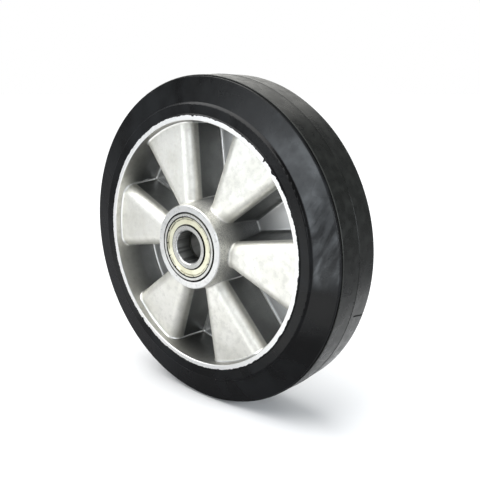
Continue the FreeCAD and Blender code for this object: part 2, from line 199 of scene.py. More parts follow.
def feed(tree, socket, source):
    """Give a socket a number, a colour, or another node's output."""
    if isinstance(source, bpy.types.NodeSocket):
        tree.links.new(source, socket)
    else:
        socket.default_value = source


def dress(tree, surface, colour, roughness, normal):
    """Give a surface shader its colour, its roughness and its relief."""
    feed(tree, surface.inputs["Base Color"], colour)
    feed(tree, surface.inputs["Roughness"], roughness)
    feed(tree, surface.inputs["Normal"], normal)


def math_node(tree, operation, *sources):
    """One sum of numbers."""
    node = tree.nodes.new("ShaderNodeMath")
    node.operation = operation
    for socket, source in zip(node.inputs, sources):
        feed(tree, socket, source)
    return node.outputs[0]


def vector_node(tree, operation, *sources):
    """One sum of vectors; lengths and products come out as a number."""
    node = tree.nodes.new("ShaderNodeVectorMath")
    node.operation = operation
    for socket, source in zip(node.inputs, sources):
        feed(tree, socket, source)
    return node.outputs["Value" if operation in NUMBER_RESULTS else "Vector"]


def step(tree, source, start, end, low=0.0, high=1.0):
    """Smooth change from low to high while the source goes from start to end."""
    node = tree.nodes.new("ShaderNodeMapRange")
    node.interpolation_type = "SMOOTHSTEP"
    for socket, number in zip(node.inputs, (source, start, end, low, high)):
        feed(tree, socket, number)
    return node.outputs[0]


print("sums ready")

# %% Masks and mixes
# Where a Mix node has its factor and its two inputs, and its result, for numbers and for colours.
MIX_NUMBER_SOCKETS = (0, 2, 3)
MIX_COLOUR_SOCKETS = (0, 6, 7)
MIX_NUMBER_RESULT = 0
MIX_COLOUR_RESULT = 2


def band(tree, source, start, end, soft):
    """Mask that is 1 from start to end, with soft sides."""
    rise = step(tree, source, start - soft, start + soft)
    fall = step(tree, source, end - soft, end + soft)
    return math_node(tree, "SUBTRACT", rise, fall)


def both(tree, first, second):
    """Mask of where two masks meet; a number in place of one makes the other fainter."""
    return math_node(tree, "MULTIPLY", first, second)


def either(tree, first, second):
    """Mask of where at least one of two masks lies."""
    return math_node(tree, "MAXIMUM", first, second)


def mix(tree, factor, first, second):
    """Mix of two colours."""
    node = tree.nodes.new("ShaderNodeMix")
    node.data_type = "RGBA"
    for index, source in zip(MIX_COLOUR_SOCKETS, (factor, first, second)):
        feed(tree, node.inputs[index], source)
    return node.outputs[MIX_COLOUR_RESULT]


def blend(tree, factor, first, second):
    """Mix of two numbers."""
    node = tree.nodes.new("ShaderNodeMix")
    for index, source in zip(MIX_NUMBER_SOCKETS, (factor, first, second)):
        feed(tree, node.inputs[index], source)
    return node.outputs[MIX_NUMBER_RESULT]


def overlay(tree, under, colour, pattern, start, end, most=1.0):
    """Colour laid over another as a noise or a distance goes from start to end."""
    return mix(tree, step(tree, pattern, start, end, high=most), under, colour)


print("masks and mixes ready")

# %% Noise and relief
# Most of a noise lies between these two.
NOISE_LOW = 0.3
NOISE_HIGH = 0.7


def speckle(tree, place, scale, detail=2.0):
    """Noise of a given scale per metre."""
    node = tree.nodes.new("ShaderNodeTexNoise")
    node.inputs["Scale"].default_value = scale
    node.inputs["Detail"].default_value = detail
    feed(tree, node.inputs["Vector"], place)
    return node.outputs[0]


def stretch(tree, place, scale, turn=(0.0, 0.0, 0.0)):
    """Place turned, then squeezed or drawn out along each axis."""
    mapping = tree.nodes.new("ShaderNodeMapping")
    mapping.vector_type = "TEXTURE"
    mapping.inputs["Rotation"].default_value = turn
    mapping.inputs["Scale"].default_value = [1.0 / share for share in scale]
    feed(tree, mapping.inputs["Vector"], place)
    return mapping.outputs[0]


def lines(tree, distance, scale, detail=3.0):
    """Noise along one distance only, as a cutting tool leaves it."""
    node = tree.nodes.new("ShaderNodeTexNoise")
    node.noise_dimensions = "1D"
    node.inputs["Scale"].default_value = scale
    node.inputs["Detail"].default_value = detail
    feed(tree, node.inputs["W"], distance)
    return node.outputs[0]


def uneven(tree, pattern, low, high):
    """Number that follows a noise from low to high, for a gloss that isn't the same all over."""
    return step(tree, pattern, NOISE_LOW, NOISE_HIGH, low, high)


def relief(tree, height, depth, under=None):
    """Bump of a depth in metres, on top of another bump if one is given."""
    node = tree.nodes.new("ShaderNodeBump")
    node.inputs["Distance"].default_value = depth
    feed(tree, node.inputs["Height"], height)
    if under is not None:
        feed(tree, node.inputs["Normal"], under)
    return node.outputs[0]


print("noise and relief ready")

# %% Places on the wheel
AXLE = Vector((0.0, 1.0, 0.0))
UP = Vector((0.0, 0.0, 1.0))
RIGHT = Vector((1.0, 0.0, 0.0))
ACROSS_AXLE = (1.0, 0.0, 1.0)


def wheel_places(tree):
    """Where a point lies on the wheel: from the axle, along it from the middle, and the way round."""
    point = tree.nodes.new("ShaderNodeTexCoord").outputs["Object"]
    parts = tree.nodes.new("ShaderNodeSeparateXYZ")
    feed(tree, parts.inputs[0], point)
    flat = vector_node(tree, "MULTIPLY", point, ACROSS_AXLE)
    return SimpleNamespace(point=point, radius=vector_node(tree, "LENGTH", flat),
                           along=math_node(tree, "ABSOLUTE", parts.outputs[1]),
                           around=vector_node(tree, "NORMALIZE", flat))


def way_at(degrees):
    """Direction out from the axle, at an angle that counts up from the right-hand side."""
    return Vector((math.cos(math.radians(degrees)), 0.0, math.sin(math.radians(degrees))))


def toward(tree, spot, way):
    """How well the way out to a spot agrees with another direction: 1 where they are the same."""
    return vector_node(tree, "DOT_PRODUCT", spot.around, way)


print("places ready")

# %% [markdown]
# ## Table
# The wheel stands on a plain white table, one flat sheet: it isn't part of the wheel.
# Black rubber mirrors its surroundings, and all round a pure white table it would look grey.
# A studio lays grey and white cards round such a thing, so that it mirrors those instead.
# The cards here lie just under the table top, which only the camera sees: one wide grey sheet,
# a white card in front for the spoke faces and a smaller one behind for the foot of the tread.

# %% Table
TABLE_WHITE = (0.95, 0.95, 0.95, 1.0)
CARD_GREY = (0.27, 0.27, 0.28, 1.0)
MATT_ROUGHNESS = 0.9
MATT_SHINE = 0.1
DISC_SIDES = 128
CARD_GAP = 0.2 * MM
# Each disc has its place across the axle and along it, and its radius, in metres.
WHOLE_TABLE = (0.0, 0.0, 12.0)
FRONT_CARD = (-0.10, -0.48, 0.365)
BACK_CARD = (0.0, 0.22, 0.20)


def matt_paint(name, colour):
    """Plain matt paint in one colour."""
    paint, tree, surface = new_finish(name)
    surface.inputs["Base Color"].default_value = colour
    surface.inputs["Roughness"].default_value = MATT_ROUGHNESS
    surface.inputs["Specular IOR Level"].default_value = MATT_SHINE
    return paint


def lay_disc(name, across, along, radius, height, paint):
    """Flat round sheet of one paint."""
    shape = bmesh.new()
    bmesh.ops.create_circle(shape, cap_ends=True, segments=DISC_SIDES, radius=radius)
    bmesh.ops.translate(shape, verts=shape.verts, vec=(across, along, height))
    mesh = bpy.data.meshes.new(name)
    shape.to_mesh(mesh)
    shape.free()
    mesh.materials.append(paint)
    disc = bpy.data.objects.new(name, mesh)
    scene.collection.objects.link(disc)
    return disc


white = matt_paint("table_white", TABLE_WHITE)
grey = matt_paint("card_grey", CARD_GREY)
table = lay_disc("table", *WHOLE_TABLE, cad_low.z, white)
table.visible_diffuse = False
table.visible_glossy = False
table.visible_shadow = False
lay_disc("front_card", *FRONT_CARD, cad_low.z - CARD_GAP, white)
lay_disc("back_card", *BACK_CARD, cad_low.z - CARD_GAP, white)
lay_disc("grey_sheet", *WHOLE_TABLE, cad_low.z - 2.0 * CARD_GAP, grey)
print("table at z = %.4f" % cad_low.z)

# %% [markdown]
# ## Cast aluminium: its places
# The centre is one die casting: satin and slightly dirty on the spoke faces,
# and darker in the deep pockets, where the die's release agent and oxide stay and painted shade is added.
# The pocket floors get painted light and the rounds at their edges painted highlights, the rim's inner wall
# gets painted shade, and the hub's outside is sandy, with a little painted shade. The lathe has cut only
# the rim lips and the hub ends.
# Each place needs a mask, a number that is 1 there and 0 elsewhere.
# The masks could be painted by hand, but sums of distance and of the way a surface faces are sharp at
# every scale: the spoke faces fall in a straight line from hub to rim, so one sum tells how deep a point
# lies below them.

# %% Where the casting is deep and where it is turned
SPOKE_LEVEL_AT_HUB = 25.5 * MM
# The spoke faces fall 3.2 mm over the 60.3 mm from hub to rim.
SPOKE_FALL = 3.2 / 60.3
# Each pair says where a smooth step starts and where it ends.
WALL_DEPTH = (9.4 * MM, 10.8 * MM)
# Surfaces that face the axle, the hub barrel and the rim's inner wall, darken gradually with depth: partly
# as-cast skin, partly painted shade.
BARREL_DEPTH = (-8.0 * MM, 20.0 * MM)
LIP_CUT = (LIP_FACE - 0.3 * MM, LIP_FACE - 0.1 * MM)
HUB_CUT = (HUB_END - 0.5 * MM, HUB_END - 0.2 * MM)
OUTSIDE_HUB = (HUB_RADIUS, HUB_RADIUS + 10.0 * MM)


def surface_ways(tree, spot):
    """How far a surface faces along the axle, and how far it faces toward or away from it."""
    facing = tree.nodes.new("ShaderNodeTexCoord").outputs["Normal"]
    to_side = math_node(tree, "ABSOLUTE", vector_node(tree, "DOT_PRODUCT", facing, AXLE))
    to_axle = math_node(tree, "ABSOLUTE", vector_node(tree, "DOT_PRODUCT", facing, spot.around))
    return to_side, to_axle


def casting_recess(tree, spot, to_axle):
    """Mask of the pockets: 0 on the spoke faces, 1 on the walls below their rounds, soft on rim and hub."""
    fall = math_node(tree, "MULTIPLY", math_node(tree, "SUBTRACT", spot.radius, HUB_RADIUS), SPOKE_FALL)
    level = math_node(tree, "SUBTRACT", SPOKE_LEVEL_AT_HUB, fall)
    depth = math_node(tree, "SUBTRACT", level, spot.along)
    wall = step(tree, depth, *WALL_DEPTH)
    barrel = step(tree, depth, *BARREL_DEPTH)
    return blend(tree, step(tree, to_axle, start=0.5, end=0.8), wall, barrel)


def turned_faces(tree, spot):
    """Masks of the two turned places: the rim lip and the hub's end face."""
    lip = both(tree, step(tree, spot.along, *LIP_CUT), step(tree, spot.radius, *OUTSIDE_HUB))
    hub_face = step(tree, spot.along, *HUB_CUT)
    return lip, hub_face


print("pocket walls darken %.1f mm below the spoke faces" % (WALL_DEPTH[0] / MM))

# %% Rounds and floors of the pockets
SPOKE_END = 85.0 * MM
RIM_ROUND = (SPOKE_END - 1.0 * MM, SPOKE_END + 1.0 * MM)
SHADED_POCKET_ANGLE = 23.3
SHADED_POCKET_WAY = way_at(SHADED_POCKET_ANGLE)
SHADED_POCKET_REACH = (0.90, 0.94)


def rounded_junctions(tree, spot, recess, to_side, to_axle):
    """Mask of the hollow rounds where a wall turns into floor, rim or hub, for their painted highlight;
    faint in the shaded pocket.
    """
    at_floor = both(tree, band(tree, to_side, start=0.35, end=0.85, soft=0.1), recess)
    reach = either(tree, recess, step(tree, spot.radius, *RIM_ROUND))
    at_ring = both(tree, band(tree, to_axle, start=0.35, end=0.85, soft=0.1), reach)
    in_shaded_pocket = toward(tree, spot, SHADED_POCKET_WAY)
    highlight_share = step(tree, in_shaded_pocket, *SHADED_POCKET_REACH, low=1.0, high=0.12)
    return both(tree, either(tree, at_floor, at_ring), highlight_share)


def pocket_floors(tree, recess, junction, to_side):
    """Mask of the pocket floors, up to their rounds."""
    floor = both(tree, recess, step(tree, to_side, start=0.86, end=0.97, high=0.8))
    return both(tree, floor, step(tree, junction, start=0.0, end=0.5, low=1.0, high=0.0))


print("the dull pocket lies at %.1f degrees" % SHADED_POCKET_ANGLE)

# %% Rim wall, hub barrel and bearing seat
RIM_WALL = (SPOKE_END, SPOKE_END + 2.0 * MM)
BARREL_REACH = (35.0 * MM, 36.0 * MM)
SEAT_EDGE = (BEARING_RADIUS + 0.4 * MM, BEARING_RADIUS + 0.65 * MM)
SEAT_MOUTH = (HUB_END - 1.5 * MM, HUB_END - 1.0 * MM)


def shaded_rim(tree, spot, to_axle):
    """Mask of the rim's inner wall for painted shade, strongest at the top and the bottom."""
    wall = both(tree, step(tree, to_axle, start=0.6, end=0.85), step(tree, spot.radius, *RIM_WALL))
    level = math_node(tree, "ABSOLUTE", toward(tree, spot, UP))
    return both(tree, wall, step(tree, level, start=0.3, end=0.9, low=0.12, high=0.72))


def hub_barrel(tree, spot, to_axle):
    """Mask of the hub's outside wall."""
    near_axle = step(tree, spot.radius, *BARREL_REACH, low=1.0, high=0.0)
    return both(tree, near_axle, step(tree, to_axle, start=0.6, end=0.9))


def oily_shaded_seat(tree, spot):
    """Mask of the bearing seat's edge, where oil creeps out and painted shade lies in the joint."""
    near_seat = step(tree, spot.radius, *SEAT_EDGE, low=1.0, high=0.0)
    return both(tree, near_seat, step(tree, spot.along, *SEAT_MOUTH))


def casting_places(tree, spot):
    """All the masks of the casting, by name."""
    to_side, to_axle = surface_ways(tree, spot)
    recess = casting_recess(tree, spot, to_axle)
    junction = rounded_junctions(tree, spot, recess, to_side, to_axle)
    lip, hub_face = turned_faces(tree, spot)
    return SimpleNamespace(recess=recess, junction=junction, lip=lip, hub_face=hub_face,
                           turned=either(tree, lip, hub_face),
                           floor=pocket_floors(tree, recess, junction, to_side),
                           rim_wall=shaded_rim(tree, spot, to_axle),
                           barrel=hub_barrel(tree, spot, to_axle), seat=oily_shaded_seat(tree, spot))


print("spokes end at radius %.1f mm" % (SPOKE_END / MM))

# %% [markdown]
# ## Cast aluminium: its finish
# With the masks ready, the metal is built up as a caster would describe it: the colour of the faces,
# the colour of the pockets, and then one place after the other laid over them.
# Three noises give clouds, stains and pores, because a real casting is uneven at every scale.
# The lathe's fine rings are noise along the radius alone, both in the colour and in the relief.

# %% Casting colours
FACE_CREAM = (0.965, 0.955, 0.895, 1.0)
FACE_CLOUD = (0.875, 0.865, 0.795, 1.0)
FACE_STAIN = (0.68, 0.675, 0.63, 1.0)
FACE_PORE = (0.56, 0.555, 0.52, 1.0)
POCKET_GREY = (0.42, 0.425, 0.42, 1.0)
POCKET_CLOUD = (0.33, 0.335, 0.33, 1.0)
POCKET_PORE = (0.23, 0.232, 0.228, 1.0)
POCKET_PAINTED_SHADE = (0.12, 0.122, 0.12, 1.0)
POCKET_SHADE_RADII = (55.0 * MM, 92.0 * MM)
CUT_LIGHT = (0.84, 0.84, 0.825, 1.0)
CUT_DARK = (0.68, 0.68, 0.665, 1.0)
CUT_STAIN = (0.48, 0.48, 0.46, 1.0)
CUT_NICK = (0.20, 0.20, 0.19, 1.0)


def casting_noise(tree, spot):
    """The casting's clouds, stains and pores."""
    return SimpleNamespace(cloud=speckle(tree, spot.point, scale=60.0, detail=4.0),
                           stain=speckle(tree, spot.point, scale=230.0, detail=5.0),
                           pores=speckle(tree, spot.point, scale=1100.0, detail=3.0))


def face_colour(tree, patch):
    """Cream-grey satin of the spoke faces, with clouds, stains and pores."""
    face = overlay(tree, FACE_CREAM, FACE_CLOUD, patch.cloud, start=0.35, end=0.7)
    face = overlay(tree, face, FACE_STAIN, patch.stain, start=0.42, end=0.75, most=0.5)
    return overlay(tree, face, FACE_PORE, patch.pores, start=0.55, end=0.75, most=0.3)


def pocket_colour(tree, spot, patch):
    """Grey of the pockets, with painted shade toward the rim and in one pocket."""
    pocket = overlay(tree, POCKET_GREY, POCKET_CLOUD, patch.cloud, start=0.3, end=0.75)
    pocket = overlay(tree, pocket, POCKET_PORE, patch.pores, start=0.5, end=0.75, most=0.4)
    # Painted shade toward the rim and in one pocket.
    pocket = overlay(tree, pocket, POCKET_PAINTED_SHADE, spot.radius, *POCKET_SHADE_RADII, most=0.4)
    in_shaded_pocket = toward(tree, spot, SHADED_POCKET_WAY)
    return overlay(tree, pocket, POCKET_PAINTED_SHADE, in_shaded_pocket, *SHADED_POCKET_REACH, most=0.45)


def turned_colour(tree, spot, stain):
    """Clean cut metal with fine rings, a few stains and nicks."""
    cut = mix(tree, lines(tree, spot.radius, scale=1800.0), CUT_LIGHT, CUT_DARK)
    cut = overlay(tree, cut, CUT_STAIN, stain, start=0.5, end=0.7, most=0.45)
    nicks = speckle(tree, spot.point, scale=620.0, detail=1.0)
    return overlay(tree, cut, CUT_NICK, nicks, start=0.70, end=0.76, most=0.8)


print("faces %.2f bright, pockets %.2f" % (FACE_CREAM[1], POCKET_GREY[1]))

# %% Casting colours by place
# Painted highlight on the hollow rounds.
ROUND_PAINTED_HIGHLIGHT = (0.95, 0.95, 0.93, 1.0)
# Painted light on the pocket floors.
FLOOR_PAINTED_LIGHT = (0.78, 0.78, 0.77, 1.0)
# Painted shade on the rim's inner wall.
RIM_PAINTED_SHADE = (0.11, 0.11, 0.105, 1.0)
# Painted shade: the hub barrel a little darker.
BARREL_PAINTED_SHADE = (0.92, 0.92, 0.93)
BARREL_SAND = (0.36, 0.36, 0.355, 1.0)
LIP_WHITE = (0.98, 0.975, 0.955, 1.0)
# Oil and painted shade at the bearing seat's edge.
SEAT_OIL_AND_SHADE = (0.03, 0.03, 0.03, 1.0)


def casting_colour(tree, spot, at, patch):
    """Faces and pockets first, then the colours of single places over them."""
    # The pockets' darker colour is partly the as-cast skin, partly painted shade.
    metal = mix(tree, at.recess, face_colour(tree, patch), pocket_colour(tree, spot, patch))
    metal = mix(tree, at.junction, metal, ROUND_PAINTED_HIGHLIGHT)
    metal = mix(tree, at.floor, metal, FLOOR_PAINTED_LIGHT)
    metal = mix(tree, at.rim_wall, metal, RIM_PAINTED_SHADE)
    metal = mix(tree, at.barrel, metal, vector_node(tree, "MULTIPLY", metal, BARREL_PAINTED_SHADE))
    sand = both(tree, at.barrel, step(tree, patch.pores, start=0.42, end=0.62, high=0.45))
    metal = mix(tree, sand, metal, BARREL_SAND)
    metal = mix(tree, at.turned, metal, turned_colour(tree, spot, patch.stain))
    metal = mix(tree, at.lip, metal, LIP_WHITE)
    return mix(tree, at.seat, metal, SEAT_OIL_AND_SHADE)


print("rounds %.2f bright, floors %.2f" % (ROUND_PAINTED_HIGHLIGHT[1], FLOOR_PAINTED_LIGHT[1]))

# %% Cast aluminium finish
BARREL_ROUGHNESS = 0.6
ROUND_ROUGHNESS = 0.28
HUB_FACE_ROUGHNESS = 0.34
LIP_ROUGHNESS = 0.5


def casting_roughness(tree, at, stain):
    """Satin faces, smoother pockets and rounds, a sandy hub and cut metal at its end."""
    face = uneven(tree, stain, low=0.44, high=0.56)
    pocket = uneven(tree, stain, low=0.36, high=0.46)
    rough = blend(tree, at.recess, face, pocket)
    rough = blend(tree, at.barrel, rough, BARREL_ROUGHNESS)
    rough = blend(tree, at.junction, rough, ROUND_ROUGHNESS)
    rough = blend(tree, at.hub_face, rough, HUB_FACE_ROUGHNESS)
    return blend(tree, at.lip, rough, LIP_ROUGHNESS)


def casting_relief(tree, spot, turned, pores):
    """Grain of the casting, fainter where it is turned, and the lathe's rings there."""
    cast = step(tree, turned, start=0.0, end=1.0, low=1.0, high=0.4)
    grain = relief(tree, both(tree, pores, cast), depth=0.07 * MM)
    rings = both(tree, lines(tree, spot.radius, scale=2600.0), turned)
    return relief(tree, rings, depth=0.03 * MM, under=grain)


def new_metal(name):
    """Empty material of bare metal."""
    finish, tree, surface = new_finish(name)
    surface.inputs["Metallic"].default_value = 1.0
    return finish, tree, surface


def make_cast_aluminium():
    """Satin casting, turned at the lips and the hub ends, with oil and painted shade at the bearing seat's
    edge.
    """
    finish, tree, surface = new_metal("cast_aluminium")
    spot = wheel_places(tree)
    at = casting_places(tree, spot)
    patch = casting_noise(tree, spot)
    dress(tree, surface, casting_colour(tree, spot, at, patch), casting_roughness(tree, at, patch.stain),
          casting_relief(tree, spot, at.turned, patch.pores))
    return finish


cast_aluminium = make_cast_aluminium()
print("made", cast_aluminium.name)

# %% [markdown]
# ## Elastic rubber
# The tyre is black solid rubber out of a polished mould, so it has a low shine that breaks up in smears.
# The smears are a little longer outward than round the wheel, so their noise is packed closer round it:
# adding the direction out from the axle to the place does that, without the seam of an angle.
# A painted blue-grey reflection lies on one stretch of the bevelled band, as a sheen with streaks through
# it. The tread is olive black, with a worn edge that also carries a painted highlight line.
# One short dark scuff on the tread is drawn by its distance from a straight line.

# %% Scuff and painted sheen
SCUFF_START = Vector((119.3, 4.6, -36.3)) * MM
SCUFF_END = Vector((118.2, 17.4, -38.9)) * MM
SCUFF_HALF_WIDTH = 0.75 * MM
# The painted sheen: where it lies on the bevelled band and round the wheel.
PAINTED_SHEEN_INNER = 105.7 * MM
PAINTED_SHEEN_OUTER = TREAD_RADIUS - 2.0 * MM
PAINTED_SHEEN_SOFT = 0.6 * MM
PAINTED_SHEEN_LOW = math.sin(math.radians(-8.0))
PAINTED_SHEEN_HIGH = math.sin(math.radians(66.0))
PAINTED_SHEEN_LOW_FADE = 0.14
PAINTED_SHEEN_HIGH_FADE = 0.38
SHEEN_STREAK_WAY = way_at(5.0)
SHEEN_STREAK_TURN = (0.0, math.radians(28.0), 0.0)
SHEEN_STREAK_DRAW = (1.0, 1.0, 0.22)


def scuff_mask(tree, spot):
    """Mask of a short straight scuff."""
    run = SCUFF_END - SCUFF_START
    offset = vector_node(tree, "SUBTRACT", spot.point, SCUFF_START)
    share = math_node(tree, "DIVIDE", vector_node(tree, "DOT_PRODUCT", offset, run), run.length_squared)
    share = math_node(tree, "MINIMUM", math_node(tree, "MAXIMUM", share, 0.0), 1.0)
    nearest = tree.nodes.new("ShaderNodeVectorMath")
    nearest.operation = "SCALE"
    nearest.inputs[0].default_value = run
    feed(tree, nearest.inputs["Scale"], share)
    away = vector_node(tree, "DISTANCE", offset, nearest.outputs[0])
    return step(tree, away, 0.5 * SCUFF_HALF_WIDTH, SCUFF_HALF_WIDTH, low=1.0, high=0.0)


def painted_sheen_stretch(tree, spot):
    """Mask of the stretch of the bevelled band that gets a painted sheen, on the wheel's right-hand side.
    """
    bevel = band(tree, spot.radius, PAINTED_SHEEN_INNER, PAINTED_SHEEN_OUTER, PAINTED_SHEEN_SOFT)
    right_half = step(tree, toward(tree, spot, RIGHT), start=0.2, end=0.4)
    level = toward(tree, spot, UP)
    rising = step(tree, level, PAINTED_SHEEN_LOW, PAINTED_SHEEN_LOW + PAINTED_SHEEN_LOW_FADE)
    fading = step(tree, level, PAINTED_SHEEN_HIGH - PAINTED_SHEEN_HIGH_FADE, PAINTED_SHEEN_HIGH, low=1.0, high=0.0)
    return both(tree, bevel, both(tree, right_half, both(tree, rising, fading)))


def painted_sheen_mask(tree, spot, dust):
    """Mask of the painted sheen: cloudy, and streaked."""
    clouds = speckle(tree, spot.point, scale=48.0, detail=3.0)
    cloudy = both(tree, step(tree, clouds, start=0.4, end=0.6, low=0.5),
                  step(tree, dust, start=0.25, end=0.7, low=0.75))
    streak_side = step(tree, toward(tree, spot, SHEEN_STREAK_WAY), start=0.93, end=0.99, low=0.2)
    reflection_streaks = speckle(tree, stretch(tree, spot.point, SHEEN_STREAK_DRAW, SHEEN_STREAK_TURN), scale=210.0, detail=5.0)
    gaps = both(tree, streak_side, step(tree, reflection_streaks, start=0.38, end=0.62, low=0.7, high=0.0))
    left_over = math_node(tree, "SUBTRACT", 1.0, gaps)
    return both(tree, painted_sheen_stretch(tree, spot), both(tree, cloudy, left_over))


print("scuff %.1f mm long" % ((SCUFF_END - SCUFF_START).length / MM))

# %% Rubber colours
RUBBER_BLACK = (0.0022, 0.0023, 0.0024, 1.0)
RUBBER_SMEAR = (0.0075, 0.0085, 0.0095, 1.0)
# Painted blue-grey reflection on the bevelled band.
PAINTED_SHEEN_GREY = (0.125, 0.133, 0.139, 1.0)
TREAD_OLIVE = (0.008, 0.0085, 0.0072, 1.0)
TREAD_DUST = (0.016, 0.017, 0.0145, 1.0)
# Grey of wear and painted highlight at the tread's edge.
EDGE_WEAR_AND_HIGHLIGHT = (0.07, 0.072, 0.066, 1.0)
# The worn edge, which also carries a painted highlight line, is a band along the axle: its two sides, and
# how soft they are.
WORN_HIGHLIGHT_EDGE = (18.3 * MM, 19.1 * MM, 0.1 * MM)
WORN_HIGHLIGHT_SHARE = 0.6
SMEAR_PACKING = (0.05, 0.0, 0.05)


def rubber_noise(tree, spot):
    """The rubber's smears, packed closer round the wheel than outward, its dust and its grain."""
    outward = vector_node(tree, "MULTIPLY", spot.around, SMEAR_PACKING)
    packed = vector_node(tree, "ADD", spot.point, outward)
    return SimpleNamespace(smear=speckle(tree, packed, scale=22.0, detail=5.0),
                           dust=speckle(tree, spot.point, scale=160.0, detail=5.0),
                           grain=speckle(tree, spot.point, scale=1500.0))


def side_colour(tree, spot, patch):
    """Smeared black side with its painted sheen."""
    side = overlay(tree, RUBBER_BLACK, RUBBER_SMEAR, patch.smear, start=0.42, end=0.72)
    return mix(tree, painted_sheen_mask(tree, spot, patch.dust), side, PAINTED_SHEEN_GREY)


def tread_colour(tree, spot, dust):
    """Olive black tread, greyer at its edge: wear and a painted highlight line."""
    tread = overlay(tree, TREAD_OLIVE, TREAD_DUST, dust, start=0.4, end=0.75)
    worn_highlight = both(tree, band(tree, spot.along, *WORN_HIGHLIGHT_EDGE), WORN_HIGHLIGHT_SHARE)
    return mix(tree, worn_highlight, tread, EDGE_WEAR_AND_HIGHLIGHT)


print("worn edge %.1f mm wide" % ((WORN_HIGHLIGHT_EDGE[1] - WORN_HIGHLIGHT_EDGE[0]) / MM))

# %% Rubber finish
SCUFF_BLACK = (0.001, 0.001, 0.001, 1.0)
SCUFF_ROUGHNESS = 1.0
RUBBER_SHINE = 0.26
TREAD_START = (TREAD_RADIUS - 1.35 * MM, TREAD_RADIUS - 1.0 * MM)


def rubber_relief(tree, spot, patch):
    """Waves that go with the smears, the mould's fine rings and a grain."""
    waves = relief(tree, patch.smear, depth=0.6 * MM)
    rings = relief(tree, lines(tree, spot.radius, scale=500.0), depth=0.02 * MM, under=waves)
    return relief(tree, patch.grain, depth=0.02 * MM, under=rings)


def make_rubber():
    """Black semi-gloss rubber, smeared on the sides and olive on the tread."""
    finish, tree, surface = new_finish("tyre_rubber")
    surface.inputs["Specular IOR Level"].default_value = RUBBER_SHINE
    spot = wheel_places(tree)
    patch = rubber_noise(tree, spot)
    on_tread = step(tree, spot.radius, *TREAD_START)
    scuff = scuff_mask(tree, spot)
    colour = mix(tree, on_tread, side_colour(tree, spot, patch), tread_colour(tree, spot, patch.dust))
    side_rough = step(tree, patch.smear, start=0.35, end=0.7, low=0.20, high=0.38)
    rough = blend(tree, on_tread, side_rough, uneven(tree, patch.dust, low=0.25, high=0.36))
    dress(tree, surface, mix(tree, scuff, colour, SCUFF_BLACK), blend(tree, scuff, rough, SCUFF_ROUGHNESS),
          rubber_relief(tree, spot, patch))
    return finish


tyre_rubber = make_rubber()
print("made", tyre_rubber.name)

# %% [markdown]
# ## Bearing rings
# The bearing rings are ground, which leaves very fine rings round the axle and a clean grey shine.
# The bore has painted light at its mouth, and painted shade and painted reflection bands further in.
# Dark oil and painted shade sit in the joint between ring and hub, and where the shield is pressed into the
# ring.
# One material does for both rings, because their joints lie at different distances from the axle.

# %% Oil and painted shade at the rings' joints
INNER_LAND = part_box("front_inner_ring")[1].z
RING_INBOARD = -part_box("front_inner_ring")[1].y
SHIELD_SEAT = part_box("front_outboard_shield")[1].z - 0.4 * MM
HUB_JOINT = (BEARING_RADIUS - 1.0 * MM, BEARING_RADIUS - 0.75 * MM)
SLEEVE_JOINT = (RING_INBOARD + 1.2 * MM, RING_INBOARD + 1.6 * MM)
# A joint that is a band has a third number, for its soft sides.
OUTER_JOINT = (SHIELD_SEAT - 0.5 * MM, SHIELD_SEAT + 0.3 * MM, 0.1 * MM)
INNER_JOINT = (INNER_LAND - 0.35 * MM, INNER_LAND + 0.5 * MM, 0.1 * MM)


def oily_shaded_joints(tree, spot):
    """Mask of the rings' joints with the hub, the shield and the sleeve, for oil and painted shade."""
    at_hub = step(tree, spot.radius, *HUB_JOINT)
    at_shield = either(tree, band(tree, spot.radius, *OUTER_JOINT), band(tree, spot.radius, *INNER_JOINT))
    at_sleeve = step(tree, spot.along, *SLEEVE_JOINT, low=1.0, high=0.0)
    return either(tree, either(tree, at_hub, at_shield), at_sleeve)


print("inner ring's shoulder %.1f mm, inboard end %.1f mm" % (INNER_LAND / MM, RING_INBOARD / MM))

# %% Ring steel
RING_EDGE = 13.4 * MM
INNER_RING = (INNER_LAND, INNER_LAND + 1.0 * MM)
BORE_WALL = (RING_EDGE - 0.7 * MM, RING_EDGE)
BORE_SHADING = (RING_INBOARD + 2.0 * MM, RING_INBOARD + 14.0 * MM)
RING_LIGHT = (0.70, 0.70, 0.67, 1.0)
RING_DARK = (0.54, 0.54, 0.52, 1.0)
RING_CLOUD = (0.42, 0.41, 0.37, 1.0)
INNER_RING_GREY = (0.40, 0.40, 0.385, 1.0)
# Painted light, painted shade and painted reflection bands in the bore.
BORE_MOUTH_PAINTED_LIGHT = (0.95, 0.955, 0.94, 1.0)
BORE_DEEP_PAINTED_SHADE = (0.20, 0.205, 0.20, 1.0)
BORE_PAINTED_REFLECTION_BAND = (0.10, 0.102, 0.10, 1.0)
BORE_ROUGHNESS = 0.46
# Dark oil and painted shade in joints and gaps.
JOINT_OIL_AND_SHADE = (0.03, 0.03, 0.026, 1.0)


def ring_colour(tree, spot, rings, cloud):
    """Ground faces with fine rings and a few clouds; the inner ring is greyer."""
    steel = mix(tree, rings, RING_LIGHT, RING_DARK)
    steel = overlay(tree, steel, RING_CLOUD, cloud, start=0.45, end=0.75, most=0.4)
    inner = step(tree, spot.radius, *INNER_RING, low=0.45, high=0.0)
    return mix(tree, inner, steel, INNER_RING_GREY)


def painted_bore_light(tree, spot):
    """Painted light at the bore's mouth, painted shade further in, and painted reflection bands along the
    axle.
    """
    deep = step(tree, spot.along, *BORE_SHADING, low=1.0, high=0.0)
    reflection_streaks = speckle(tree, spot.around, scale=3.2)
    return overlay(tree, mix(tree, deep, BORE_MOUTH_PAINTED_LIGHT, BORE_DEEP_PAINTED_SHADE), BORE_PAINTED_REFLECTION_BAND, reflection_streaks,
                   start=0.42, end=0.58, most=0.6)


